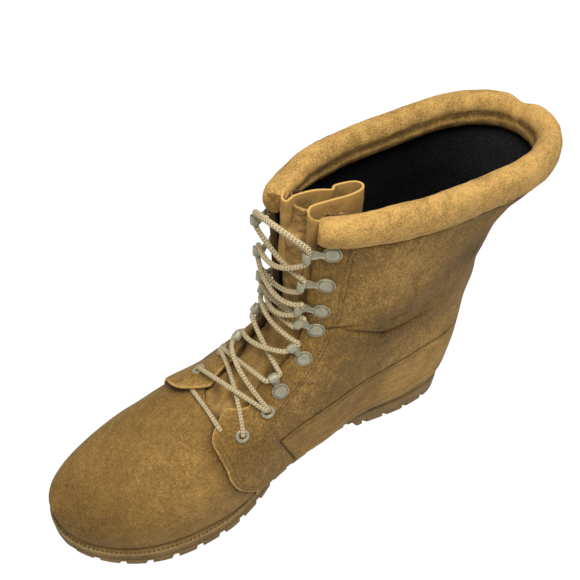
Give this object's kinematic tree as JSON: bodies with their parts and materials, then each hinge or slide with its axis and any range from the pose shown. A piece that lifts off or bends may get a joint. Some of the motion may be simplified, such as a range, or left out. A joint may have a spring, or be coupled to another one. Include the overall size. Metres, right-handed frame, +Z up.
{
  "type": "combat boot",
  "caption": "Tall lace-up combat boot in coyote suede with padded roll collar, speed hooks, folded tongue and low lugged rubber sole.",
  "frame": {"origin": "on the floor, under the heel tread's flat", "axes": "+X from heel to toe, +Y to the boot's outer side, the wearer's left, +Z up"},
  "size_m": [0.3683, 0.1195, 0.254],
  "materials": {
    "suede_upper": "rough suede, coyote brown",
    "suede_panel": "rough suede, coyote brown, slightly darker",
    "suede_collar": "soft suede over foam",
    "tongue_leather": "smooth thin leather",
    "ribbed_webbing": "dark ribbed strip",
    "khaki_metal": "matt khaki paint, edges worn",
    "lace_cord": "braided tan cord",
    "footbed": "black mesh over foam",
    "welt_rubber": "matt olive brown",
    "midsole_rubber": "matt olive brown",
    "outsole_rubber": "matt olive brown, dusty"
  },
  "bodies": {
    "root": {"backstay": "ribbed_webbing", "collar": "suede_collar", "eyelet_inner_1": "khaki_metal", "eyelet_inner_2": "khaki_metal", "eyelet_outer_1": "khaki_metal", "eyelet_outer_2": "khaki_metal", "foxing_inner": "suede_panel", "foxing_outer": "suede_panel", "hook_inner_1": "khaki_metal", "hook_inner_2": "khaki_metal", "hook_inner_3": "khaki_metal", "hook_inner_4": "khaki_metal", "hook_inner_5": "khaki_metal", "hook_inner_6": "khaki_metal", "hook_outer_1": "khaki_metal", "hook_outer_2": "khaki_metal", "hook_outer_3": "khaki_metal", "hook_outer_4": "khaki_metal", "hook_outer_5": "khaki_metal", "hook_outer_6": "khaki_metal", "insole": "footbed", "lace_bar": "lace_cord", "lace_cross_1": "lace_cord", "lace_cross_2": "lace_cord", "lace_cross_3": "lace_cord", "lace_cross_4": "lace_cord", "lace_cross_5": "lace_cord", "lace_cross_6": "lace_cord", "lace_cross_7": "lace_cord", "lace_top": "lace_cord", "midsole": "midsole_rubber", "outsole": "outsole_rubber", "quarter_inner": "suede_panel", "quarter_outer": "suede_panel", "tongue": "tongue_leather", "upper": "suede_upper", "welt": "welt_rubber"}
  },
  "joints": []
}
